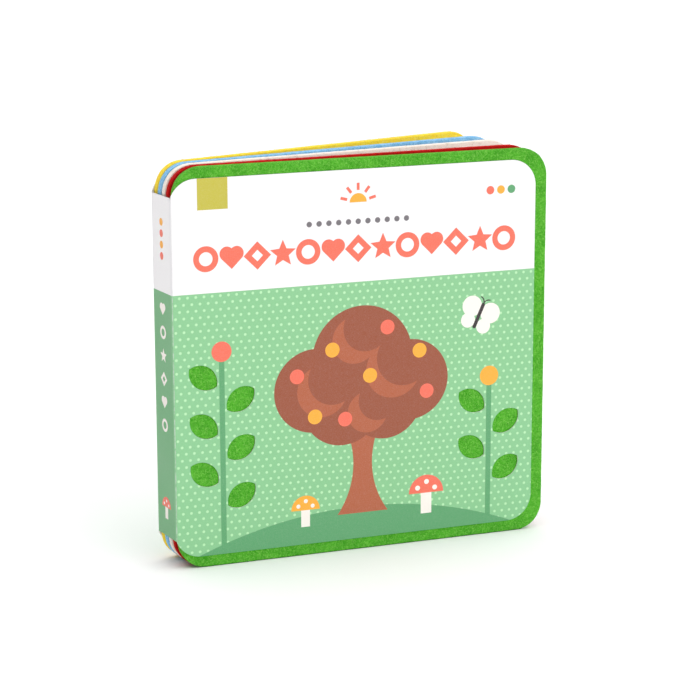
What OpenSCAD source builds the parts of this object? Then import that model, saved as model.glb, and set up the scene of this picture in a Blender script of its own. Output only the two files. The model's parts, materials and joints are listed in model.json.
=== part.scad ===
// Felt book: five leaves of wool felt glued between printed card, in a card
// cover that wraps round the spine. It stands on the foot of its leaves with
// the leaves fanned out from the spine.
// Lengths are in millimetres. X runs from the spine to the fore edge, Y through
// the book from the front cover to the back cover, and Z up from the foot.

/* [Felt leaves] */
// Width of a leaf from its spine edge to its fore edge
felt_w = 177; // [150:1:210]
// Height of a leaf
felt_h = 180; // [175:1:230]
// Thickness of the felt
felt_t = 3; // [2:0.1:5]
// Radius of a leaf's corners
felt_r = 13; // [6:0.5:20]

/* [Card] */
// Thickness of the cover card and of the pages
card_t = 0.45; // [0.3:0.05:0.8]
// Felt left showing beside the card at the fore edge
fore_margin = 5.8; // [2:0.1:8]
// Felt left showing above the card at the head
head_margin = 5; // [2:0.1:8]
// Felt left showing below the card at the foot
foot_margin = 5.4; // [2:0.1:8]
// Radius of the card's corners
card_r = 12; // [6:0.5:18]
// How far a corner arc of the card runs past the crease
crease_overrun = 0.7; // [0.2:0.1:2]

/* [Spine] */
// Air between the facing pages of a gutter where they meet the spine
gutter_gap = 0.2; // [0.1:0.05:0.6]
// Air between the spine card and the folds that are glued to it
glue_gap = 0.1; // [0.05:0.05:0.3]
// Air left at a crease for the card to bend
crease_gap = 0.3; // [0.25:0.05:0.6]
// Straight run of a gutter fold beside its page
fold_leg = 0.7; // [0.6:0.05:1.2]
// How far a gutter fold stops short of the round corners of its page
fold_setback = 1; // [0.5:0.25:5]

/* [Fan of the leaves] */
// Angle from the front cover to the second leaf, in degrees
first_gap_angle = 2.5; // [1:0.5:12]
// Angle from the second leaf to the middle leaf
second_gap_angle = 5; // [1:0.5:8]
// Angle from the middle leaf to the fourth leaf
third_gap_angle = 3.5; // [1:0.5:8]
// Angle from the fourth leaf to the back cover
fourth_gap_angle = 5; // [1:0.5:12]

/* [Print] */
// Thickness of one coat of ink
ink_t = 0.05; // [0.03:0.01:0.1]
// Height of the plain band at the head of the cover
band_h = 50.5; // [40:0.5:60]
// Radius of the low hill's arc
hill_r = 200; // [150:5:260]
// Height of the hilltop above the foot of the card
hill_h = 15; // [10:1:20]

/* [Die-cut leaves] */
// Length of a die-cut leaf from tip to tip
leaf_l = 15.5; // [12:0.5:18]
// Width of a die-cut leaf
leaf_w = 10.5; // [8:0.5:12]
// Slope of a leaf above the level, in degrees
leaf_lift = 35; // [20:1:50]
// Card between a sprig's stem and the tip of a leaf
leaf_tip_gap = 1; // [0.5:0.25:3]
// Height from one leaf of a sprig to the next
leaf_pitch = 11; // [10:0.5:13]
// Height of a sprig's first leaf above the foot of the card
leaf_foot = 22; // [18:1:30]
// Width of a sprig's stem
stem_w = 2.4; // [1.5:0.1:4]
// Distance of a sprig from the side of the cover that it stands by
sprig_inset = 22; // [20:0.5:28]
// Radius of the berry at the top of a sprig
berry_r = 4.6; // [3:0.1:6]

/* [Tree] */
// How far the tree stands past the middle of the cover
tree_shift = 2; // [-6:0.5:8]
// Radius of the largest puff of the crown
crown_r = 24; // [18:0.5:26]
// Height of the crown's middle above the foot of the card
crown_z = 71; // [62:1:78]
// Width of the trunk at its waist
trunk_w = 9; // [6:0.5:14]
// Radius of the hollow on each side of the trunk
trunk_hollow_r = 40; // [36:1:60]
// Radius of a fruit in the crown
fruit_r = 3.4; // [2:0.1:5]

/* [Small motifs] */
// Radius of a toadstool's cap
cap_r = 8.5; // [6:0.5:10]
// Radius of an upper wing of the butterfly
wing_r = 4.8; // [3:0.2:6]
// Radius of a shape in the row on the plain band
row_r = 5.7; // [4:0.1:6]
// Width of the line that the open shapes are drawn with
row_line = 2.6; // [1.5:0.1:3]
// Shapes in the row
row_count = 13; // [9:1:14]
// Radius of a small dot
dot_r = 1.25; // [0.8:0.05:1.6]
// Side of the square patch at the head of the cover
patch_w = 13.8; // [10:0.2:16]

/* [Hidden] */
$fn = 96;

// Leaves and their places in the block
LEAVES = 5;
leaf_t = felt_t + 2 * card_t;
leaf_step = leaf_t + gutter_gap;
block_t = LEAVES * leaf_t + (LEAVES - 1) * gutter_gap;
LEAF_ANGLES = [
  -second_gap_angle - first_gap_angle, -second_gap_angle, 0,
  third_gap_angle, third_gap_angle + fourth_gap_angle
];
function leaf_y(i) = (i - (LEAVES - 1) / 2) * leaf_step;

// Distances from the outer face of the spine
fold_r = card_t + gutter_gap / 2;
felt_u = card_t + glue_gap + fold_r;
fore_u = felt_u + felt_w;
card_u = fore_u - fore_margin;
spine_x = -fore_u / 2;

// Card outlines
card_h = felt_h - head_margin - foot_margin;
corner_rise = sqrt(card_r * card_r - (card_r - crease_overrun) * (card_r - crease_overrun));
spine_h = card_h - 2 * (card_r - corner_rise);
spine_foot = foot_margin + card_r - corner_rise;
spine_w = block_t - 2 * (card_t + crease_gap);
fold_end = felt_r + fold_setback;
band_z = felt_h - head_margin - band_h;
band_mid_u = card_u / 2;

// Tree: puffs, shaded crescents and fruits, as [across, up, radius] in crown radii
CROWN = [[0, 0.55, 1], [-0.95, 0, 0.8], [0.95, 0.05, 0.78], [-0.4, -0.3, 0.8], [0.45, -0.3, 0.75]];
CRESCENTS = [[-0.8, -0.02, 0.5], [0.62, 0.28, 0.55], [0.1, -0.5, 0.4], [-0.15, 0.9, 0.45]];
CORAL_FRUIT = [[-1.3, 0.3], [0.5, 1.1], [1.3, -0.2], [-0.35, -0.6]];
ORANGE_FRUIT = [[-0.6, 0.75], [1.15, 0.6], [-0.95, -0.5], [0.15, 0.2]];
crescent_share = 0.22;
tree_u = band_mid_u + tree_shift;
tree_z = foot_margin + crown_z;
trunk_sink = 3;
trunk_foot_z = foot_margin + hill_h - trunk_sink;
trunk_waist_h = 23.6;
trunk_foot_half = trunk_w / 2 + trunk_hollow_r
  - sqrt(trunk_hollow_r * trunk_hollow_r - trunk_waist_h * trunk_waist_h);

// Sprigs: places, numbers of leaves and the arc of a leaf
left_sprig_u = sprig_inset;
right_sprig_u = card_u - sprig_inset;
left_leaves = 6;
right_leaves = 4;
leaf_arc_r = (leaf_l * leaf_l + leaf_w * leaf_w) / (4 * leaf_w);
first_leaf_z = foot_margin + leaf_foot;
function berry_z(leaves) = first_leaf_z + leaves * leaf_pitch + berry_r;

// Toadstools: distances from the tree, depth of the foot below the hilltop, and
// sizes against the cap radius
coral_toadstool_out = 31.2;
orange_toadstool_out = 27.6;
toadstool_sink = 6.8;
coral_toadstool_u = tree_u + coral_toadstool_out;
orange_toadstool_u = tree_u - orange_toadstool_out;
toadstool_foot_z = foot_margin + hill_h - toadstool_sink;
orange_toadstool_size = 0.8;
stalk_w = 0.62;
stalk_h = 1.15;
CAP_DOTS = [[-0.5, 0.3], [0.02, 0.62], [0.5, 0.26]];
cap_dot_r = 0.14;

// Butterfly: upper and lower wings as [across, up, radius] in wing radii
WINGS = [[1.02, 0.62, 1], [0.86, -0.78, 0.72]];
BUTTERFLY_TURN = -24;
body_l = 2.6;
body_w = 0.36;
antenna_r = 2.6;
antenna_w = 0.5;
butterfly_drop = 20;
butterfly_inset = 27.5;
butterfly_u = card_u - butterfly_inset;
butterfly_z = band_z - butterfly_drop;

// Row of shapes and small marks on the plain band, whose heights above the
// band's foot are shares of the band
row_share = 0.3;
dots_share = 0.54;
sun_share = 0.71;
mark_share = 0.74;
row_z = band_z + row_share * band_h;
row_inset = 15.5;
row_step = (card_u - 2 * row_inset) / (row_count - 1);
dots_z = band_z + dots_share * band_h;
dots_count = 11;
dots_step = 4.6;
sun_z = band_z + sun_share * band_h;
sun_r = 4;
ray_gap = 1.4;
ray_l = 3.2;
ray_w = 1.3;
RAY_ANGLES = [15, 52.5, 90, 127.5, 165];
patch_u = card_r;
mark_z = band_z + mark_share * band_h;
mark_step = 5.2;
mark_r = 1.9;
mark_u = card_u - card_r - 2 * mark_step;

// Shapes of the rows, with their proportions against the radius of a round one
pointed_size = 1.1;
star_points = 5;
star_waist = 0.45;
heart_side = 1.13;
heart_drop = 0.9;

// Marks on the spine, with their places against its foot and the foot of the band
spine_row_r = 3;
spine_row_line = 1.3;
spine_row_count = 6;
spine_row_step = 10.5;
spine_row_drop = 60;
spine_row_z = band_z - spine_row_drop;
spine_toadstool_size = 0.55;
spine_toadstool_lift = 8;
spine_toadstool_z = spine_foot + spine_toadstool_lift;
spine_mark_r = 1.7;
spine_mark_step = 5;
spine_mark_lift = 16;
spine_mark_z = band_z + spine_mark_lift;

// Colours
green_felt = "#61B63C";
red_felt = "#B4140A";
white_felt = "#F3E4D7";
blue_felt = "#90C0E8";
yellow_felt = "#FED638";
card_white = "#FFFCFE";
ground_green = "#96D2A0";
leaf_green = "#5CA56E";
brown = "#9B4E30";
light_brown = "#B55E3A";
coral = "#F87058";
orange = "#FFB030";
cream = "#FDF5EE";
near_black = "#2D2323";
olive = "#C6BC41";
grey = "#736E73";
spine_green = "#78B682";

// Places for the leaves, in which u runs from the outer face of the spine to
// the fore edge and y runs through one leaf from its front face to its back
module cover_place(angle) {
  translate([spine_x, -block_t / 2, 0]) rotate([0, 0, angle]) children();
}

module leaf_place(i) {
  if (i == 0) cover_place(LEAF_ANGLES[0]) children();
  else if (i == LEAVES - 1) mirror([0, 1, 0]) cover_place(-LEAF_ANGLES[i]) children();
  else translate([spine_x + felt_u, leaf_y(i), 0])
    rotate([0, 0, LEAF_ANGLES[i]])
      translate([-felt_u, -leaf_t / 2, 0]) children();
}

// A flat layer of a leaf, drawn as (u, z) and as thick as t, from y inwards
module layer(y, t) {
  translate([0, y + t, 0]) rotate([90, 0, 0]) linear_extrude(t) children();
}

// Ink on a cover: the first coat lies on the card and the second on the first
module ink(coat) {
  layer(-coat * ink_t, ink_t) children();
}

// Ink on the spine, drawn as (across, z) from the middle of the spine
module spine_ink(coat) {
  translate([spine_x - (coat - 1) * ink_t, 0, 0]) rotate([90, 0, -90])
    linear_extrude(ink_t) children();
}

// Outlines
module rounded_rectangle(w, h, r) {
  translate([r, 0]) square([w - 2 * r, h]);
  translate([0, r]) square([w, h - 2 * r]);
  for (x = [r, w - r], z = [r, h - r]) translate([x, z]) circle(r);
}

module felt_outline() {
  translate([felt_u, 0]) rounded_rectangle(felt_w, felt_h, felt_r);
}

module card_outline() {
  intersection() {
    translate([-crease_overrun, foot_margin])
      rounded_rectangle(card_u + crease_overrun, card_h, card_r);
    translate([crease_gap, 0]) square([fore_u, felt_h]);
  }
}

// A page is as round at its corners as the felt, which hides them at the spine
module page_outline() {
  translate([felt_u, foot_margin]) rounded_rectangle(card_u - felt_u, card_h, felt_r);
}

module below_band() {
  square([fore_u, band_z]);
}

// Leaf shapes of the sprigs, cut through the card and its ink
module leaf_shape() {
  translate([leaf_l / 2, 0]) intersection() {
    translate([0, leaf_w / 2 - leaf_arc_r]) circle(leaf_arc_r);
    translate([0, leaf_arc_r - leaf_w / 2]) circle(leaf_arc_r);
  }
}

module sprig_leaves(u, leaves) {
  for (i = [0:leaves - 1])
    translate([u, first_leaf_z + i * leaf_pitch]) mirror([i % 2, 0])
      translate([stem_w / 2 + leaf_tip_gap, 0]) rotate(leaf_lift) leaf_shape();
}

module die_cuts() {
  sprig_leaves(left_sprig_u, left_leaves);
  sprig_leaves(right_sprig_u, right_leaves);
}

// Motifs of the front cover
module sprig_stem(u, leaves) {
  translate([u - stem_w / 2, foot_margin]) square([stem_w, berry_z(leaves) - foot_margin]);
}

module berry(u, leaves) {
  translate([u, berry_z(leaves)]) circle(berry_r);
}

module hill() {
  intersection() {
    translate([band_mid_u, foot_margin + hill_h - hill_r]) circle(hill_r);
    card_outline();
  }
}

module crown_puffs(puffs) {
  for (p = puffs) translate([tree_u + p[0] * crown_r, tree_z + p[1] * crown_r]) circle(p[2] * crown_r);
}

module crescents() {
  for (p = CRESCENTS)
    translate([tree_u + p[0] * crown_r, tree_z + p[1] * crown_r]) difference() {
      circle(p[2] * crown_r);
      translate([crescent_share, crescent_share] * crown_r) circle(p[2] * crown_r);
    }
}

module fruits(places) {
  for (p = places) translate([tree_u + p[0] * crown_r, tree_z + p[1] * crown_r]) circle(fruit_r);
}

module trunk() {
  translate([tree_u, trunk_foot_z]) difference() {
    translate([-trunk_foot_half, 0]) square([2 * trunk_foot_half, tree_z - trunk_foot_z]);
    for (side = [-1, 1])
      translate([side * (trunk_w / 2 + trunk_hollow_r), trunk_waist_h]) circle(trunk_hollow_r);
  }
}

module stalk(r) {
  translate([-stalk_w * r / 2, 0]) square([stalk_w, stalk_h] * r);
}

module cap_dots(r) {
  for (p = CAP_DOTS) translate([p[0], stalk_h + p[1]] * r) circle(cap_dot_r * r);
}

module cap(r) {
  difference() {
    translate([0, stalk_h * r]) intersection() {
      circle(r);
      translate([-r, 0]) square(2 * r);
    }
    cap_dots(r);
  }
}

module coral_toadstool_place() {
  translate([coral_toadstool_u, toadstool_foot_z]) children();
}

module orange_toadstool_place() {
  translate([orange_toadstool_u, toadstool_foot_z]) children();
}

module butterfly_place() {
  translate([butterfly_u, butterfly_z]) rotate(BUTTERFLY_TURN) children();
}

module butterfly_body() {
  w = body_w * wing_r;
  run = body_l * wing_r - w;
  translate([-w / 2, -run / 2]) square([w, run]);
  for (z = [-run, run] / 2) translate([0, z]) circle(w / 2);
}

// Two thin quarter rings that curve outwards from the head
module antennae() {
  for (flip = [0, 1]) mirror([flip, 0])
    translate([antenna_r, (body_l - body_w / 2) * wing_r / 2]) difference() {
      circle(antenna_r + antenna_w / 2);
      circle(antenna_r - antenna_w / 2);
      translate([0, -2 * antenna_r]) square(4 * antenna_r);
      translate([-2 * antenna_r, -2 * antenna_r]) square([4 * antenna_r, 2 * antenna_r]);
    }
}

module wings() {
  difference() {
    for (side = [-1, 1], p = WINGS)
      translate([side * p[0], p[1]] * wing_r) circle(p[2] * wing_r);
    butterfly_body();
  }
}

// A square on its corner with a half circle on each of its upper sides
module heart(r) {
  side = heart_side * r;
  translate([0, -heart_drop * r]) rotate(45) {
    square(side);
    translate([side / 2, side]) circle(side / 2);
    translate([side, side / 2]) circle(side / 2);
  }
}

module star(r) {
  polygon([
    for (i = [0:2 * star_points - 1])
      let (a = 90 + i * 180 / star_points, d = i % 2 == 0 ? r : r * star_waist) d * [cos(a), sin(a)]
  ]);
}

module diamond(r) {
  circle(r, $fn = 4);
}

// One shape of a row: a ring, a heart, an open diamond and a star by turns
module row_shape(i, r, line) {
  kind = i % 4;
  if (kind == 0) difference() {
    circle(r);
    circle(r - line);
  }
  else if (kind == 1) heart(r);
  else if (kind == 2) difference() {
    diamond(pointed_size * r);
    diamond(pointed_size * r - line * sqrt(2));
  }
  else star(pointed_size * r);
}

module shape_row() {
  for (i = [0:row_count - 1]) translate([row_inset + i * row_step, row_z]) row_shape(i, row_r, row_line);
}

module sun() {
  translate([band_mid_u, sun_z]) intersection() {
    circle(sun_r);
    translate([-sun_r, 0]) square(2 * sun_r);
  }
}

module rays() {
  for (a = RAY_ANGLES)
    translate([band_mid_u, sun_z]) rotate(a) translate([sun_r + ray_gap, -ray_w / 2]) square([ray_l, ray_w]);
}

module mark_dot(i) {
  translate([mark_u + i * mark_step, mark_z]) circle(mark_r);
}

module dot_line() {
  for (i = [0:dots_count - 1])
    translate([band_mid_u + (i - (dots_count - 1) / 2) * dots_step, dots_z]) circle(dot_r);
}

module patch() {
  translate([patch_u, felt_h - head_margin - patch_w]) square(patch_w);
}

// Felt leaves
module felt(i) {
  leaf_place(i) layer(card_t, felt_t) felt_outline();
}

module green_felt_leaf() {
  color(green_felt) felt(0);
}

module red_felt_leaf() {
  color(red_felt) felt(1);
}

module white_felt_leaf() {
  color(white_felt) felt(2);
}

module blue_felt_leaf() {
  color(blue_felt) felt(3);
}

module yellow_felt_leaf() {
  color(yellow_felt) felt(4);
}

// Cover card, parted at the two creases on which the covers swing
module front_cover_card() {
  color(card_white) leaf_place(0) layer(0, card_t) difference() {
    card_outline();
    die_cuts();
  }
}

module spine_card() {
  color(card_white) translate([spine_x, -spine_w / 2, spine_foot]) cube([card_t, spine_w, spine_h]);
}

module back_cover_card() {
  color(card_white) leaf_place(LEAVES - 1) layer(0, card_t) card_outline();
}

// Printed sheets inside. Each is folded at a gutter, and the fold is glued to
// the spine. The first and the last are parted where a cover swings away.
module front_page(i) {
  leaf_place(i) layer(0, card_t) page_outline();
}

module back_page(i) {
  leaf_place(i) layer(leaf_t - card_t, card_t) page_outline();
}

module gutter_place(i) {
  translate([spine_x + felt_u, (leaf_y(i) + leaf_y(i + 1)) / 2, foot_margin + fold_end])
    linear_extrude(card_h - 2 * fold_end) children();
}

module gutter_fold(i) {
  gutter_place(i) difference() {
    circle(fold_r);
    circle(gutter_gap / 2);
    translate([0, -fold_r]) square(2 * fold_r);
  }
}

// The short straight runs that join a fold to pages which open away from it
module fold_legs(i) {
  gutter_place(i) for (y = [-fold_r, gutter_gap / 2]) translate([0, y]) square([fold_leg, card_t]);
}

module front_cover_page() {
  color(card_white) leaf_place(0) layer(leaf_t - card_t, card_t) page_outline();
}

module second_leaf_page() {
  color(card_white) {
    front_page(1);
    gutter_fold(0);
  }
}

module front_inner_sheet() {
  color(card_white) {
    back_page(1);
    front_page(2);
    gutter_fold(1);
    fold_legs(1);
  }
}

module back_inner_sheet() {
  color(card_white) {
    back_page(2);
    front_page(3);
    gutter_fold(2);
    fold_legs(2);
  }
}

module fourth_leaf_page() {
  color(card_white) {
    back_page(3);
    gutter_fold(3);
  }
}

module back_cover_page() {
  color(card_white) leaf_place(LEAVES - 1) layer(leaf_t - card_t, card_t) page_outline();
}

// Print on the front cover, one module for each ink
module front_print_ground() {
  color(ground_green) leaf_place(0) ink(1) difference() {
    intersection() {
      card_outline();
      below_band();
    }
    die_cuts();
  }
}

module front_print_leaf_green() {
  color(leaf_green) leaf_place(0) {
    ink(2) difference() {
      union() {
        hill();
        sprig_stem(left_sprig_u, left_leaves);
        sprig_stem(right_sprig_u, right_leaves);
      }
      trunk();
      coral_toadstool_place() stalk(cap_r);
      orange_toadstool_place() stalk(cap_r * orange_toadstool_size);
      berry(left_sprig_u, left_leaves);
      berry(right_sprig_u, right_leaves);
    }
    ink(1) mark_dot(2);
  }
}

module front_print_brown() {
  color(brown) leaf_place(0) ink(2) difference() {
    crown_puffs(CROWN);
    crescents();
    fruits(CORAL_FRUIT);
    fruits(ORANGE_FRUIT);
  }
}

module front_print_light_brown() {
  color(light_brown) leaf_place(0) ink(2) {
    difference() {
      trunk();
      crown_puffs(CROWN);
    }
    difference() {
      crescents();
      fruits(CORAL_FRUIT);
      fruits(ORANGE_FRUIT);
    }
  }
}

module front_print_coral() {
  color(coral) leaf_place(0) {
    ink(2) {
      fruits(CORAL_FRUIT);
      berry(left_sprig_u, left_leaves);
      coral_toadstool_place() cap(cap_r);
    }
    ink(1) {
      shape_row();
      rays();
      mark_dot(0);
    }
  }
}

module front_print_orange() {
  color(orange) leaf_place(0) {
    ink(2) {
      fruits(ORANGE_FRUIT);
      berry(right_sprig_u, right_leaves);
      orange_toadstool_place() cap(cap_r * orange_toadstool_size);
    }
    ink(1) {
      sun();
      mark_dot(1);
    }
  }
}

module front_print_cream() {
  color(cream) leaf_place(0) ink(2) {
    coral_toadstool_place() {
      stalk(cap_r);
      cap_dots(cap_r);
    }
    orange_toadstool_place() {
      stalk(cap_r * orange_toadstool_size);
      cap_dots(cap_r * orange_toadstool_size);
    }
    butterfly_place() wings();
  }
}

module front_print_black() {
  color(near_black) leaf_place(0) ink(2) butterfly_place() {
    butterfly_body();
    difference() {
      antennae();
      wings();
    }
  }
}

module front_print_olive() {
  color(olive) leaf_place(0) ink(1) patch();
}

module front_print_grey() {
  color(grey) leaf_place(0) ink(1) dot_line();
}

// Print on the spine and on the back cover
module spine_toadstool_place() {
  translate([0, spine_toadstool_z]) children();
}

module spine_mark(i) {
  translate([0, spine_mark_z + i * spine_mark_step]) circle(spine_mark_r);
}

module spine_print_ground() {
  color(spine_green) spine_ink(1)
    translate([-spine_w / 2, spine_foot]) square([spine_w, band_z - spine_foot]);
}

module spine_print_white() {
  color(cream) spine_ink(2) {
    for (i = [0:spine_row_count - 1])
      translate([0, spine_row_z + i * spine_row_step]) row_shape(i, spine_row_r, spine_row_line);
    spine_toadstool_place() {
      stalk(cap_r * spine_toadstool_size);
      cap_dots(cap_r * spine_toadstool_size);
    }
  }
}

module spine_print_coral() {
  color(coral) {
    spine_ink(2) spine_toadstool_place() cap(cap_r * spine_toadstool_size);
    spine_ink(1) for (i = [0, 2]) spine_mark(i);
  }
}

module spine_print_orange() {
  color(orange) spine_ink(1) for (i = [1, 3]) spine_mark(i);
}

module back_print_ground() {
  color(ground_green) leaf_place(LEAVES - 1) ink(1) intersection() {
    card_outline();
    below_band();
  }
}

green_felt_leaf();
red_felt_leaf();
white_felt_leaf();
blue_felt_leaf();
yellow_felt_leaf();
front_cover_card();
spine_card();
back_cover_card();
front_cover_page();
second_leaf_page();
front_inner_sheet();
back_inner_sheet();
fourth_leaf_page();
back_cover_page();
front_print_ground();
front_print_leaf_green();
front_print_brown();
front_print_light_brown();
front_print_coral();
front_print_orange();
front_print_cream();
front_print_black();
front_print_olive();
front_print_grey();
spine_print_ground();
spine_print_white();
spine_print_coral();
spine_print_orange();
back_print_ground();
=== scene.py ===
# Looks of the felt book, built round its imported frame. Lengths are in metres.
import json
import math

import bpy
import numpy as np
from mathutils import Matrix, Vector


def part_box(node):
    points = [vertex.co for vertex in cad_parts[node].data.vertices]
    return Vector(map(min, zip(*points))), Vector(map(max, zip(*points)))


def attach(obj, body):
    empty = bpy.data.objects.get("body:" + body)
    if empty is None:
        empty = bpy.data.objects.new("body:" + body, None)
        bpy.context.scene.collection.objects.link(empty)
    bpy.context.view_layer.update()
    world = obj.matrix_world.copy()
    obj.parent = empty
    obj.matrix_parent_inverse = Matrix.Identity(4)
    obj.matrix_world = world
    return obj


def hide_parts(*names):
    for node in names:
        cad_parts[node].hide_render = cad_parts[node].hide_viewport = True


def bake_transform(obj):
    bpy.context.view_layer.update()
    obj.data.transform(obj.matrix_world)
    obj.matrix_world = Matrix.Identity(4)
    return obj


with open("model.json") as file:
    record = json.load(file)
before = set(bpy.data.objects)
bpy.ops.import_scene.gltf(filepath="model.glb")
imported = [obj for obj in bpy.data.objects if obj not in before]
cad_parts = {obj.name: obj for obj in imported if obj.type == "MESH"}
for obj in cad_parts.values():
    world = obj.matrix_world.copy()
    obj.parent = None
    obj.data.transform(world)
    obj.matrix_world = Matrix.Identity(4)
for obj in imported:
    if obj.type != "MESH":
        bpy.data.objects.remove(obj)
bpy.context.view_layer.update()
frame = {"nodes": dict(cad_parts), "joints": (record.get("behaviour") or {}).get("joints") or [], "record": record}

MM = 0.001
SEED = 20
rng = np.random.default_rng(SEED)


# Frame of the book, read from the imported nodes

FOOT_SLICE = 0.01 * MM


class Leaf:
    """A flat upright node: a corner of it, its directions along, through and up, and its size."""

    def __init__(self, name):
        verts = mesh_points(name)
        flat = verts[:, :2] - verts[:, :2].mean(0)
        spread = np.linalg.eigh(flat.T @ flat)[1][:, 1]
        spread = spread if spread[0] > 0 else -spread
        self.along = np.array([spread[0], spread[1], 0])
        self.through = np.array([-spread[1], spread[0], 0])
        self.up = np.array([0, 0, 1.0])
        local = np.stack([verts @ self.along, verts @ self.through, verts @ self.up], 1)
        low, high = local.min(0), local.max(0)
        self.corner = self.along * low[0] + self.through * low[1] + self.up * low[2]
        self.width, self.thickness, self.height = high - low
        at_foot = local[local[:, 2] < low[2] + FOOT_SLICE]
        self.radius = at_foot[:, 0].min() - low[0]

    def place(self, local):
        """Points (along, through, up) from the leaf's corner, as points of the book."""
        return self.corner + local @ np.stack([self.along, self.through, self.up])


def mesh_points(name):
    """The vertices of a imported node."""
    mesh = frame["nodes"][name].data
    points = np.zeros(len(mesh.vertices) * 3)
    mesh.vertices.foreach_get("co", points)
    return points.reshape(-1, 3)


FELTS = {
    "green_felt_leaf": ("front_cover", "green_felt"),
    "red_felt_leaf": ("block", "red_felt"),
    "white_felt_leaf": ("block", "white_felt"),
    "blue_felt_leaf": ("block", "blue_felt"),
    "yellow_felt_leaf": ("back_cover", "yellow_felt"),
}
leaves = {name: Leaf(name) for name in FELTS}
band_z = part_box("front_print_ground")[1].z
spine_low, spine_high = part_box("spine_card")
hinges = {joint["child"]: Vector(joint["pos_m"]) for joint in frame["joints"]}


# Materials

def srgb(red, green, blue):
    """A display colour from 0 to 255, as the linear colour that the shader takes."""
    def linear(value):
        value /= 255
        return value / 12.92 if value <= 0.04045 else ((value + 0.055) / 1.055) ** 2.4
    return (linear(red), linear(green), linear(blue), 1)


OPENNESS_SAMPLES = 8

# Places of the colour sockets on Blender's mix node
FIRST_COLOUR = 6
SECOND_COLOUR = 7
MIXED_COLOUR = 2


class Nodes:
    """Short calls that add nodes to a material and join them."""

    def __init__(self, name, **sockets):
        self.material = bpy.data.materials.new(name)
        self.material.use_nodes = True
        self.tree = self.material.node_tree
        self.shader = self.tree.nodes["Principled BSDF"]
        for socket, value in sockets.items():
            self.shader.inputs[socket.replace("_", " ")].default_value = value
        self.place = self.tree.nodes.new("ShaderNodeTexCoord").outputs["Object"]

    def link(self, socket, value):
        """Joins an output to a socket, or sets the socket where value is a number or a colour."""
        if isinstance(value, bpy.types.NodeSocket):
            self.tree.links.new(value, socket)
        else:
            socket.default_value = value

    def math(self, operation, *values):
        node = self.tree.nodes.new("ShaderNodeMath")
        node.operation = operation
        for socket, value in zip(node.inputs, values):
            self.link(socket, value)
        return node.outputs[0]

    def vector(self, operation, *values):
        node = self.tree.nodes.new("ShaderNodeVectorMath")
        node.operation = operation
        for socket, value in zip(node.inputs, values):
            self.link(socket, value)
        return node.outputs["Value" if operation in ("DOT_PRODUCT", "LENGTH", "DISTANCE") else "Vector"]

    def ramp(self, value, low, high, start=0.0, end=1.0):
        """A smooth step from start to end as value goes from low to high."""
        node = self.tree.nodes.new("ShaderNodeMapRange")
        node.interpolation_type = "SMOOTHSTEP"
        for socket, given in zip(node.inputs, (value, low, high, start, end)):
            self.link(socket, given)
        return node.outputs[0]

    def mix(self, factor, first, second):
        node = self.tree.nodes.new("ShaderNodeMix")
        node.data_type = "RGBA"
        self.link(node.inputs[0], factor)
        self.link(node.inputs[FIRST_COLOUR], first)
        self.link(node.inputs[SECOND_COLOUR], second)
        return node.outputs[MIXED_COLOUR]

    def multiply(self, first, second):
        output = self.mix(1.0, first, second)
        output.node.blend_type = "MULTIPLY"
        return output

    def openness(self, reach, closed, clear):
        """From 0 to 1 as the share of rays of length reach that meet nothing goes from closed to clear."""
        node = self.tree.nodes.new("ShaderNodeAmbientOcclusion")
        node.samples = OPENNESS_SAMPLES
        self.link(node.inputs["Distance"], reach)
        return self.ramp(node.outputs["AO"], closed, clear)

    def noise(self, place, size, detail=2.0, roughness=0.5):
        """Noise from 0 to 1 with features of the given size."""
        node = self.tree.nodes.new("ShaderNodeTexNoise")
        self.link(node.inputs["Vector"], place)
        self.link(node.inputs["Scale"], 1 / size)
        self.link(node.inputs["Detail"], detail)
        self.link(node.inputs["Roughness"], roughness)
        return node.outputs["Fac"]

    def streaks(self, place, turn, length, width):
        """Noise drawn out into streaks that lie at the given turn in the plane of a leaf."""
        node = self.tree.nodes.new("ShaderNodeMapping")
        node.vector_type = "TEXTURE"
        self.link(node.inputs["Vector"], place)
        self.link(node.inputs["Rotation"], (0, turn, 0))
        self.link(node.inputs["Scale"], (length, width, width))
        return self.noise(node.outputs[0], 1.0, 1.0)

    def bump(self, height, distance, strength):
        node = self.tree.nodes.new("ShaderNodeBump")
        self.link(node.inputs["Height"], height)
        self.link(node.inputs["Distance"], distance)
        self.link(node.inputs["Strength"], strength)
        self.link(self.shader.inputs["Normal"], node.outputs[0])

    def colour(self, value):
        self.link(self.shader.inputs["Base Color"], value)

    def roughness(self, value):
        self.link(self.shader.inputs["Roughness"], value)


STREAK_LENGTH = 2.4 * MM
STREAK_WIDTH = 0.28 * MM
STREAK_TURNS = (0.2, 0.9, 1.7, 2.5)
STREAK_SHOWS = (0.56, 0.78)
STREAK_SHARE = 0.6
WANDER = 0.5 * MM
WANDER_SIZE = 1.6 * MM
SPECK_SIZE = 0.55 * MM
SPECK_SHARE = 0.75
CLOUD_SIZE = 7 * MM
TONE_SPAN = (0.38, 0.62)
FELT_SHEEN = 0.25
FELT_RELIEF = 0.12 * MM
# Painted shade in the felt's nooks: how far the felt looks for cover, the span over which it darkens, and the
# colour of its darkest shade
SHADE_REACH = 1.1 * MM
SHADE_SPAN = (0.4, 0.76)
SHADE_TONE = (0.3, 0.34, 0.3, 1)
NO_SHADE = (1, 1, 1, 1)


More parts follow.
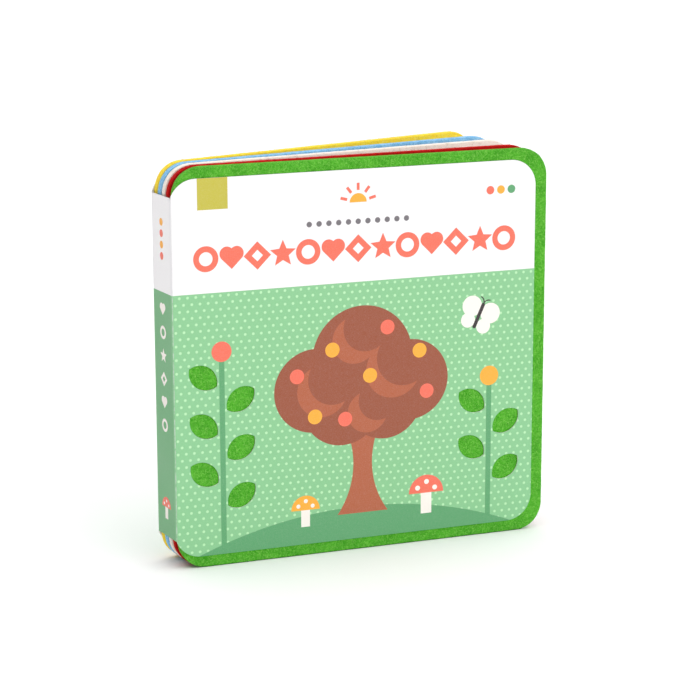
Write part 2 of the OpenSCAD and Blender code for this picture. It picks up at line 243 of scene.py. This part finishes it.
def felt_material(name, dark, middle, light):
    """Pressed wool: short fibres that cross at all angles, in cloudy patches, with shade painted into its nooks.
    """
    nodes = Nodes(name, Sheen_Weight=FELT_SHEEN, Sheen_Roughness=0.45, Specular_IOR_Level=0.2)
    nodes.link(nodes.shader.inputs["Sheen Tint"], light)
    wander = nodes.tree.nodes.new("ShaderNodeTexNoise")
    nodes.link(wander.inputs["Vector"], nodes.place)
    nodes.link(wander.inputs["Scale"], 1 / WANDER_SIZE)
    shifted = nodes.vector("MULTIPLY", wander.outputs["Color"], (WANDER,) * 3)
    place = nodes.vector("ADD", nodes.place, shifted)
    streaks = None
    for turn in STREAK_TURNS:
        layer = nodes.streaks(place, turn, STREAK_LENGTH, STREAK_WIDTH)
        streaks = layer if streaks is None else nodes.math("MAXIMUM", streaks, layer)
    specks = nodes.noise(nodes.place, SPECK_SIZE, 3.0, 0.7)
    clouds = nodes.noise(nodes.place, CLOUD_SIZE, 2.0)
    bright = nodes.ramp(streaks, *STREAK_SHOWS)
    speck_part = nodes.math("MULTIPLY", specks, SPECK_SHARE)
    cloud_part = nodes.math("MULTIPLY", clouds, 1 - SPECK_SHARE)
    tone = nodes.math("ADD", speck_part, cloud_part)
    ground = nodes.mix(nodes.ramp(tone, *TONE_SPAN), dark, middle)
    cloth = nodes.mix(nodes.math("MULTIPLY", bright, STREAK_SHARE), ground, light)
    # Painted shade: the colour darkens towards SHADE_TONE where little open space lies round the felt, as beside
    # the card's edges and in the die-cuts
    shade = nodes.mix(nodes.openness(SHADE_REACH, *SHADE_SPAN), SHADE_TONE, NO_SHADE)
    nodes.colour(nodes.multiply(cloth, shade))
    nodes.roughness(0.95)
    nodes.bump(nodes.math("ADD", streaks, specks), FELT_RELIEF, 0.8)
    return nodes.material


PAPER_SPECULAR = 0.45
PAPER_GRAIN = 0.35 * MM
PAPER_WAVE = 28 * MM
GRAIN_RISE = 0.03 * MM
WAVE_RISE = 0.4 * MM
PAPER_ROUGHNESS = (0.36, 0.5)


def paper_sheen(nodes):
    """The faint grain and the uneven gloss of coated card, shared by card and ink."""
    grain = nodes.noise(nodes.place, PAPER_GRAIN, 3.0, 0.6)
    waves = nodes.noise(nodes.place, PAPER_WAVE, 1.0)
    nodes.roughness(nodes.ramp(nodes.math("ADD", grain, waves), 0.7, 1.3, *PAPER_ROUGHNESS))
    grain_height = nodes.math("MULTIPLY", grain, GRAIN_RISE)
    wave_height = nodes.math("MULTIPLY", waves, WAVE_RISE)
    nodes.bump(nodes.math("ADD", grain_height, wave_height), 1.0, 0.5)
    return grain


CORE_GRAIN = 0.15 * MM


def card_material(name, facing):
    """Coated white card, whose cut edges show its greyer core."""
    nodes = Nodes(name, Specular_IOR_Level=PAPER_SPECULAR)
    grain = paper_sheen(nodes)
    face = nodes.mix(grain, srgb(246, 243, 245), srgb(255, 253, 254))
    flecks = nodes.noise(nodes.place, CORE_GRAIN, 2.0)
    core = nodes.mix(flecks, srgb(222, 218, 212), srgb(246, 244, 240))
    normal = nodes.tree.nodes.new("ShaderNodeNewGeometry").outputs["True Normal"]
    turned = nodes.tree.nodes.new("ShaderNodeVectorTransform")
    turned.convert_from = "WORLD"
    turned.convert_to = "OBJECT"
    nodes.link(turned.inputs[0], normal)
    squareness = nodes.math("ABSOLUTE", nodes.vector("DOT_PRODUCT", turned.outputs[0], facing))
    nodes.colour(nodes.mix(nodes.ramp(squareness, 0.6, 0.9), core, face))
    return nodes.material


INK_LIFT = 0.06
GROUND_LIFT = 0.05


def uneven_ink(nodes, colour, lift):
    """A colour of ink that turns a little paler, by the share lift, where the card's grain is high."""
    grain = paper_sheen(nodes)
    paler = tuple(part + (1 - part) * lift for part in colour[:3]) + (1,)
    return nodes.mix(nodes.ramp(grain, 0.4, 0.7), colour, paler)


def ink_material(name, colour):
    """One flat field of ink printed on coated card."""
    nodes = Nodes(name, Specular_IOR_Level=PAPER_SPECULAR)
    nodes.colour(uneven_ink(nodes, colour, INK_LIFT))
    return nodes.material


DOT_RADIUS = 0.62 * MM
DOT_PITCH = 3.72 * MM
DOT_ROW = 3.04 * MM
DOT_SOFT = 0.12 * MM


def dotted_material(name, leaf, colour, dot_colour):
    """Printed ground with rows of small paler dots, alternate rows set over by half a pitch."""
    nodes = Nodes(name, Specular_IOR_Level=PAPER_SPECULAR)
    ground = uneven_ink(nodes, colour, GROUND_LIFT)
    along = nodes.vector("DOT_PRODUCT", nodes.place, tuple(leaf.along))
    up = nodes.vector("DOT_PRODUCT", nodes.place, tuple(leaf.up))
    row = nodes.math("DIVIDE", up, DOT_ROW)
    parity = nodes.math("FLOORED_MODULO", nodes.math("FLOOR", row), 2.0)
    set_over = nodes.math("MULTIPLY", parity, 0.5)
    column = nodes.math("ADD", nodes.math("DIVIDE", along, DOT_PITCH), set_over)
    across = nodes.math("SUBTRACT", nodes.math("FRACT", column), 0.5)
    above = nodes.math("SUBTRACT", nodes.math("FRACT", row), 0.5)
    across_squared = nodes.math("POWER", nodes.math("MULTIPLY", across, DOT_PITCH), 2.0)
    above_squared = nodes.math("POWER", nodes.math("MULTIPLY", above, DOT_ROW), 2.0)
    distance = nodes.math("SQRT", nodes.math("ADD", across_squared, above_squared))
    dot = nodes.ramp(distance, DOT_RADIUS - DOT_SOFT, DOT_RADIUS + DOT_SOFT, 1.0, 0.0)
    nodes.colour(nodes.mix(dot, ground, dot_colour))
    return nodes.material


RUB_NEAR = 0.25 * MM
RUB_FAR = 0.6 * MM
RUB_PATCH = 2.2 * MM
RUB_SHARE = 0.6


def crease_material(name, ink, crease):
    """The printed card where it bends: ink below the band, card above, rubbed white on the fold."""
    nodes = Nodes(name, Specular_IOR_Level=PAPER_SPECULAR)
    grain = paper_sheen(nodes)
    up = nodes.vector("DOT_PRODUCT", nodes.place, (0, 0, 1))
    above_band = nodes.math("GREATER_THAN", up, band_z)
    flat = nodes.vector("MULTIPLY", nodes.place, (1, 1, 0))
    distance = nodes.vector("DISTANCE", flat, (crease.x, crease.y, 0))
    close = nodes.ramp(distance, RUB_NEAR, RUB_FAR, 1.0, 0.0)
    patchy = nodes.ramp(nodes.noise(nodes.place, RUB_PATCH, 3.0, 0.7), 0.35, 0.6)
    rubbed = nodes.math("MULTIPLY", close, patchy)
    card = nodes.mix(grain, srgb(240, 237, 240), srgb(252, 250, 252))
    printed = nodes.mix(nodes.math("MULTIPLY", rubbed, RUB_SHARE), ink, card)
    nodes.colour(nodes.mix(above_band, printed, card))
    return nodes.material


ground_green = srgb(140, 203, 147)
# The spine's green is the ground green made darker: painted shade for the side of the book that faces away from
# the light
shaded_spine_green = srgb(104, 174, 116)
dot_green = srgb(188, 234, 186)
card_leaf = card_material("card_leaf", (0, 1, 0))
card_spine = card_material("card_spine", (1, 0, 0))

INKS = {
    "ink_leaf_green": srgb(92, 165, 110), "ink_brown": srgb(155, 78, 48),
    "ink_light_brown": srgb(181, 94, 58), "ink_coral": srgb(248, 112, 88),
    "ink_orange": srgb(255, 176, 48), "ink_cream": srgb(253, 245, 238),
    "ink_black": srgb(45, 35, 35), "ink_olive": srgb(198, 188, 65),
    "ink_grey": srgb(115, 110, 115), "ink_spine_green": shaded_spine_green,
}
ink_materials = {slot: ink_material(slot, colour) for slot, colour in INKS.items()}

# The dark, middle and light tones of each felt
FELT_COLOURS = {
    "green_felt": (srgb(52, 145, 22), srgb(88, 181, 48), srgb(146, 216, 98)),
    "red_felt": (srgb(160, 4, 4), srgb(204, 8, 8), srgb(226, 42, 32)),
    "white_felt": (srgb(246, 234, 219), srgb(254, 244, 232), srgb(255, 252, 246)),
    "blue_felt": (srgb(100, 172, 222), srgb(146, 204, 243), srgb(192, 231, 253)),
    "yellow_felt": (srgb(255, 206, 34), srgb(255, 228, 58), srgb(255, 242, 140)),
}
felt_materials = {slot: felt_material(slot, *tones) for slot, tones in FELT_COLOURS.items()}

for node in frame["record"]["subparts"]:
    name, slot = node["node"], node["material_slot"]
    if slot in ink_materials:
        chosen = ink_materials[slot]
    elif slot == "ink_ground_green":
        side = "green_felt_leaf" if name.startswith("front") else "yellow_felt_leaf"
        chosen = dotted_material("ground_" + name, leaves[side], ground_green, dot_green)
    elif slot == "card":
        chosen = card_spine if name == "spine_card" else card_leaf
    else:
        continue
    part = frame["nodes"][name]
    part.data.materials.clear()
    part.data.materials.append(chosen)


# Felt leaves

class Lattice:
    """Smooth noise from -1 to 1 at points, the same on every run."""

    SIZE = 32

    def __init__(self):
        self.values = rng.uniform(-1, 1, (self.SIZE,) * 3)

    def at(self, points, size):
        """The noise at the points, with features of the given size."""
        scaled = points / size
        cell = np.floor(scaled).astype(int)
        part = scaled - cell
        part = part * part * (3 - 2 * part)
        total = 0
        for corner in np.ndindex(2, 2, 2):
            index = (cell + corner) % self.SIZE
            weight = np.prod(np.where(corner, part, 1 - part), 1)
            total = total + weight * self.values[index[:, 0], index[:, 1], index[:, 2]]
        return total


lattice = Lattice()
EDGE_ROUND = 0.5 * MM
FINE_STEP = 0.7 * MM
COARSE_STEP = 3.5 * MM
MARGIN_BAND = 8 * MM
ROUND_SHARES = (0, 0.12, 0.4, 1)
WALL_STRIPS = 5


def grid_lines(length, fine_ranges):
    """Grid positions from 0 to length: rounded at the ends, fine in the given ranges, else coarse."""
    ends = [share * EDGE_ROUND for share in ROUND_SHARES]
    lines = ends[:-1]
    at = EDGE_ROUND
    while at < length - EDGE_ROUND - 0.5 * FINE_STEP:
        lines.append(at)
        fine = any(low <= at < high for low, high in fine_ranges)
        at += FINE_STEP if fine else COARSE_STEP
    return np.array(lines + [length - end for end in reversed(ends)])


def round_corners(x, z, width, height, radius):
    """Moves the points of a full rectangle to a rounded one, with each square corner patch on its arc."""
    from_x = np.where(x < width / 2, radius - x, x - (width - radius)) / radius
    from_z = np.where(z < height / 2, radius - z, z - (height - radius)) / radius
    patch = (from_x > 0) & (from_z > 0)
    bent_x = from_x * np.sqrt(1 - np.clip(from_z, 0, 1) ** 2 / 2)
    bent_z = from_z * np.sqrt(1 - np.clip(from_x, 0, 1) ** 2 / 2)
    new_x = np.where(x < width / 2, radius - bent_x * radius, width - radius + bent_x * radius)
    new_z = np.where(z < height / 2, radius - bent_z * radius, height - radius + bent_z * radius)
    return np.where(patch, new_x, x), np.where(patch, new_z, z)


def felt_sheet(leaf, fine_x, fine_z):
    """Vertices and faces of a felt leaf: two faces on a grid, with rounded rims and a wall between."""
    xs, zs = grid_lines(leaf.width, fine_x), grid_lines(leaf.height, fine_z)
    flat_x, flat_z = np.meshgrid(xs, zs, indexing="ij")
    inset = np.minimum.reduce([flat_x, leaf.width - flat_x, flat_z, leaf.height - flat_z])
    from_flat = np.clip(EDGE_ROUND - inset, 0, None)
    drop = EDGE_ROUND - np.sqrt(np.clip(EDGE_ROUND ** 2 - from_flat ** 2, 0, None))
    x, z = round_corners(flat_x, flat_z, leaf.width, leaf.height, leaf.radius)
    front = np.stack([x, drop, z], -1).reshape(-1, 3)
    back = np.stack([x, leaf.thickness - drop, z], -1).reshape(-1, 3)
    rows, columns = len(xs), len(zs)
    number = np.arange(rows * columns).reshape(rows, columns)
    corners = [number[:-1, :-1], number[1:, :-1], number[1:, 1:], number[:-1, 1:]]
    quads = np.stack(corners, -1).reshape(-1, 4)
    rim = np.concatenate([number[:-1, 0], number[-1, :-1], number[:0:-1, -1], number[0, :0:-1]])
    levels = [rim]
    points = [front, back]
    start = len(front) * 2
    for strip in range(1, WALL_STRIPS):
        share = strip / WALL_STRIPS
        points.append(front[rim] * (1 - share) + back[rim] * share)
        levels.append(np.arange(start, start + len(rim)))
        start += len(rim)
    levels.append(rim + len(front))
    faces = [quads, quads[:, ::-1] + len(front)]
    for low, high in zip(levels, levels[1:]):
        faces.append(np.stack([low, high, np.roll(high, -1), np.roll(low, -1)], -1))
    return np.concatenate(points), np.concatenate(faces)


def make_mesh(name, points, *blocks):
    """A smooth piece from points and one or more arrays of faces."""
    mesh = bpy.data.meshes.new(name)
    faces = [face for block in blocks for face in block.tolist()]
    mesh.from_pydata(points.tolist(), [], faces)
    mesh.update()
    mesh.polygons.foreach_set("use_smooth", [True] * len(faces))
    piece = bpy.data.objects.new(name, mesh)
    bpy.context.scene.collection.objects.link(piece)
    return piece


def vertex_normals(points, quads):
    """The unit normal at each point, and a measure of the area round it."""
    corner = points[quads]
    face = np.cross(corner[:, 2] - corner[:, 0], corner[:, 3] - corner[:, 1])
    normals = np.zeros_like(points)
    for column in range(4):
        np.add.at(normals, quads[:, column], face)
    areas = np.linalg.norm(normals, axis=1)
    return normals / np.maximum(areas, 1e-20)[:, None], areas


# Faces of a fibre: point 0 and point 7 are its ends, 1 to 3 and 4 to 6 its two middle sections
SPINDLE = np.array([
    (0, 1, 2), (0, 2, 3), (0, 3, 1), (1, 4, 2), (2, 4, 5), (2, 5, 3),
    (3, 5, 6), (3, 6, 1), (1, 6, 4), (7, 5, 4), (7, 6, 5), (7, 4, 6)])
SPINDLE_POINTS = 8
SPINDLE_TURNS = (0, 2 * math.pi / 3, 4 * math.pi / 3)
FIBRE_RADIUS = 0.028 * MM
FIBRE_ROOT = 0.06 * MM
FIBRE_LENGTHS = (0.8, 2.0)
FIBRE_RISES = (0.02, 0.22)
FIBRE_CURL = 0.22
FIBRE_SPREAD = (0.7, 1.3)

# Shares of a fibre's length, rise and curl at its two middle sections, and of its curl at its end
ARCH = ((0.35, 1.0, 0.6), (0.7, 0.8, 1.0))
END_CURL = 0.7


def fibres(roots, normals, areas, count):
    """Loose fibres as closed spindles, each rooted in the felt at both ends and arched between."""
    chosen = rng.choice(len(roots), count, p=areas / areas.sum())
    root, normal = roots[chosen], normals[chosen]
    aside = np.cross(normal, rng.normal(size=(count, 3)))
    aside /= np.linalg.norm(aside, axis=1, keepdims=True)
    length = rng.uniform(*FIBRE_LENGTHS, (count, 1)) * MM
    rise = rng.uniform(*FIBRE_RISES, (count, 1)) * MM
    across = np.cross(normal, aside)
    curl = rng.normal(0, FIBRE_CURL, (count, 1)) * length
    root = root + rng.uniform(-0.5, 0.5, (count, 1)) * FINE_STEP * aside
    thick = rng.uniform(*FIBRE_SPREAD, (count, 1)) * FIBRE_RADIUS
    parts = [root - FIBRE_ROOT * normal]
    for along, up, out in ARCH:
        centre = root + aside * length * along + normal * rise * up + across * curl * out
        for turn in SPINDLE_TURNS:
            parts.append(centre + thick * (math.cos(turn) * normal + math.sin(turn) * across))
    parts.append(root + aside * length - FIBRE_ROOT * normal + across * curl * END_CURL)
    points = np.stack(parts, 1).reshape(-1, 3)
    first_points = np.arange(count)[:, None, None] * SPINDLE_POINTS
    return points, (first_points + SPINDLE).reshape(-1, 3)


LUMPS = 0.035 * MM
LUMP_SIZE = 3.2 * MM
FUZZ = 0.04 * MM
FUZZ_SIZE = 0.9 * MM
FUZZ_LIMIT = 0.12 * MM

# How squarely a point faces the next leaf or the spine, above which the felt doesn't bulge out
FACING = 0.7
FIBRES_PER_LEAF = 6500

# How far a fibre may stand out from a face and past a rim
FACE_REACH = 0.1 * MM
RIM_REACH = 0.3 * MM

# Fine grid under the die-cut shapes: widths from the spine and the fore edge, and height from the foot
CUTS_BY_SPINE = 40 * MM
CUTS_BY_FORE_EDGE = 45 * MM
CUTS_TOP = 105 * MM

# Fibres for those shapes root farther than this from the rim, within this depth of the front face
CUTS_INSET = 5 * MM
FACE_DEPTH = 0.3 * MM


def drawn_back(values, length, reach):
    """Values that pass 0 and length by less than reach."""
    over = np.maximum(values - length, 0) - np.maximum(-values, 0)
    return values - over + reach * np.tanh(over / reach)


def felt_leaf(name, body, slot):
    """One leaf with rounded rims, slight lumps and fuzz, and loose fibres where the felt shows."""
    leaf = leaves[name]
    under_cuts = name == "green_felt_leaf"
    near_x = CUTS_BY_SPINE if under_cuts else MARGIN_BAND
    far_x = CUTS_BY_FORE_EDGE if under_cuts else MARGIN_BAND
    near_z = CUTS_TOP if under_cuts else MARGIN_BAND
    fine_x = [(0, near_x), (leaf.width - far_x, leaf.width)]
    fine_z = [(0, near_z), (leaf.height - MARGIN_BAND, leaf.height)]
    local, quads = felt_sheet(leaf, fine_x, fine_z)
    normals, areas = vertex_normals(local, quads)
    lumps = lattice.at(local + 1.0, LUMP_SIZE) * LUMPS
    fuzz = lattice.at(local + 2.0, FUZZ_SIZE) * FUZZ
    pressed = (np.abs(normals[:, 1]) > FACING) | (normals[:, 0] < -FACING)
    limit = np.where(pressed, 0, FUZZ_LIMIT)
    local = local + normals * np.minimum(lumps + fuzz, limit)[:, None]
    along, depth, up = local.T
    rim = np.minimum.reduce([along, leaf.width - along, up, leaf.height - up])
    showing = rim < MARGIN_BAND
    if under_cuts:
        showing |= (depth < FACE_DEPTH) & (rim > CUTS_INSET) & (up < CUTS_TOP)
    showing &= ~(pressed & (along < MARGIN_BAND))
    strands, triangles = fibres(local[showing], normals[showing], areas[showing], FIBRES_PER_LEAF)
    limits = ((leaf.width, RIM_REACH), (leaf.thickness, FACE_REACH), (leaf.height, RIM_REACH))
    for axis, (length, reach) in enumerate(limits):
        strands[:, axis] = drawn_back(strands[:, axis], length, reach)
    points = leaf.place(np.concatenate([local, strands]))
    points[:, 2] = np.maximum(points[:, 2], 0)
    piece = make_mesh(name + "_cloth", points, quads, triangles + len(local))
    piece.data.materials.append(felt_materials[slot])
    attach(piece, body)
    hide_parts(name)


for name, (body, slot) in FELTS.items():
    felt_leaf(name, body, slot)


# Bent card at the creases

# How far a strip laps over its neighbours, stands out from their card and stops short of its back
STRIP_LAP = 0.5 * MM
STRIP_PROUD = 0.06 * MM
STRIP_SHY = 0.02 * MM
STRIP_STEPS = 14
STRIP_LEVELS = 60
CREASE_GAP = 0.3 * MM
CARD_T = spine_high.x - spine_low.x


def crease_strip(name, body, side, material):
    """The bend of the cover card between the spine and one cover, lapped a little over both."""
    leaf = leaves["green_felt_leaf" if side < 0 else "yellow_felt_leaf"]
    corner = np.array([*hinges[body].xy, 0])
    spine_edge = spine_low.y if side < 0 else spine_high.y
    start = np.array([spine_low.x, spine_edge - side * STRIP_LAP, 0])
    end = corner + leaf.along * (CREASE_GAP + STRIP_LAP)
    t = np.linspace(0, 1, STRIP_STEPS + 1)[:, None]
    bend = (1 - t) ** 2 * start + 2 * t * (1 - t) * corner + t ** 2 * end
    facing = (1 - t) * np.array([-1.0, 0, 0]) + t * leaf.through * side
    facing /= np.linalg.norm(facing, axis=1, keepdims=True)
    outer = bend + facing * STRIP_PROUD
    inner = bend - facing * (CARD_T - STRIP_SHY)
    ring = np.concatenate([outer, inner[::-1]])
    points = np.tile(ring, (STRIP_LEVELS, 1))
    heights = np.linspace(spine_low.z, spine_high.z, STRIP_LEVELS)
    points[:, 2] = np.repeat(heights, len(ring))
    number = np.arange(len(points)).reshape(STRIP_LEVELS, len(ring))
    beyond = np.roll(number, -1, 1)
    walls = np.stack([number[:-1], beyond[:-1], beyond[1:], number[1:]], -1).reshape(-1, 4)
    near, far = number[:, :STRIP_STEPS + 1], number[:, :STRIP_STEPS:-1]
    caps = np.stack([near[:, :-1], far[:, :-1], far[:, 1:], near[:, 1:]], -1)
    quads = np.concatenate([walls, caps[0], caps[-1][:, ::-1]])
    if side > 0:
        quads = quads[:, ::-1]
    piece = make_mesh(name, points, quads)
    piece.data.materials.append(material)
    piece.data.materials.append(card_leaf)

    # Print on the outer face alone
    outside = (quads % len(ring) <= STRIP_STEPS).all(1)
    outside[len(walls):] = False
    piece.data.polygons.foreach_set("material_index", (~outside).astype(int))
    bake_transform(piece)


front_crease = crease_material("front_crease_card", ground_green, hinges["front_cover"])
back_crease = crease_material("back_crease_card", ground_green, hinges["back_cover"])
crease_strip("front_crease", "front_cover", -1, front_crease)
crease_strip("back_crease", "back_cover", 1, back_crease)


# Floor, light and camera

FLOOR_SIZE = 40
FLOOR_PATCH = 0.4


def add_floor():
    """A plain pale floor at the foot of the book."""
    bpy.ops.mesh.primitive_plane_add(size=FLOOR_SIZE, location=(0, 0, 0))
    floor = bpy.context.object
    floor.name = "floor"
    nodes = Nodes("floor", Specular_IOR_Level=0.1)
    tone = nodes.noise(nodes.place, FLOOR_PATCH, 2.0)
    nodes.colour(nodes.mix(tone, srgb(248, 248, 248), srgb(252, 252, 252)))
    nodes.roughness(0.9)
    floor.data.materials.append(nodes.material)


def add_soft_sun(name, toward, strength, spread):
    """Even light from a round patch of sky, spread degrees across, in the given direction."""
    light = bpy.data.lights.new(name, "SUN")
    light.energy = strength
    light.angle = math.radians(spread)
    lamp = bpy.data.objects.new(name, light)
    lamp.rotation_euler = Vector(toward).to_track_quat("Z", "Y").to_euler()
    bpy.context.scene.collection.objects.link(lamp)


def add_world(left, right):
    """White surroundings whose strength goes from left, on the side of the spine, to right."""
    world = bpy.data.worlds.new("studio")
    world.use_nodes = True
    tree = world.node_tree
    background = tree.nodes["Background"]
    background.inputs["Color"].default_value = (1, 1, 1, 1)
    direction = tree.nodes.new("ShaderNodeTexCoord").outputs["Generated"]
    across = tree.nodes.new("ShaderNodeVectorMath")
    across.operation = "DOT_PRODUCT"
    across.inputs[1].default_value = (1, 0, 0)
    strength = tree.nodes.new("ShaderNodeMapRange")
    for socket, value in zip(strength.inputs, (0, -1, 1, left, right)):
        socket.default_value = value
    tree.links.new(direction, across.inputs[0])
    tree.links.new(across.outputs["Value"], strength.inputs[0])
    tree.links.new(strength.outputs[0], background.inputs["Strength"])
    bpy.context.scene.world = world


# Fitted to the edges of the book in the photograph, with no lens shift; angles are in radians
CAMERA_PLACE = Vector((-0.4873, -0.9129, 0.3301))
CAMERA_YAW = 0.4934
CAMERA_PITCH = 0.2293
CAMERA_ROLL = -0.0019
CAMERA_LENS = 119.7
SENSOR_WIDTH = 36
CLIP_START = 0.01


def add_camera():
    """The camera fitted to the photograph: it looks down by its pitch, with a trace of roll."""
    look = Vector((math.sin(CAMERA_YAW) * math.cos(CAMERA_PITCH),
                   math.cos(CAMERA_YAW) * math.cos(CAMERA_PITCH), -math.sin(CAMERA_PITCH)))
    right = Vector((math.cos(CAMERA_YAW), -math.sin(CAMERA_YAW), 0))
    up = right.cross(look)
    turned_right = right * math.cos(CAMERA_ROLL) + up * math.sin(CAMERA_ROLL)
    turned_up = -right * math.sin(CAMERA_ROLL) + up * math.cos(CAMERA_ROLL)
    data = bpy.data.cameras.new("camera")
    data.lens = CAMERA_LENS
    data.sensor_width = SENSOR_WIDTH
    data.clip_start = CLIP_START
    camera = bpy.data.objects.new("camera", data)
    bpy.context.scene.collection.objects.link(camera)
    turn = Matrix((turned_right, turned_up, -look)).transposed()
    camera.matrix_world = Matrix.Translation(CAMERA_PLACE) @ turn.to_4x4()
    bpy.context.scene.camera = camera


add_floor()
add_world(left=0.2, right=0.9)
add_soft_sun("key", toward=(0.35, -0.75, 0.55), strength=0.9, spread=50)
add_soft_sun("top", toward=(0, 0.1, 1), strength=1.75, spread=80)
add_camera()
bpy.context.scene.view_settings.view_transform = "Standard"
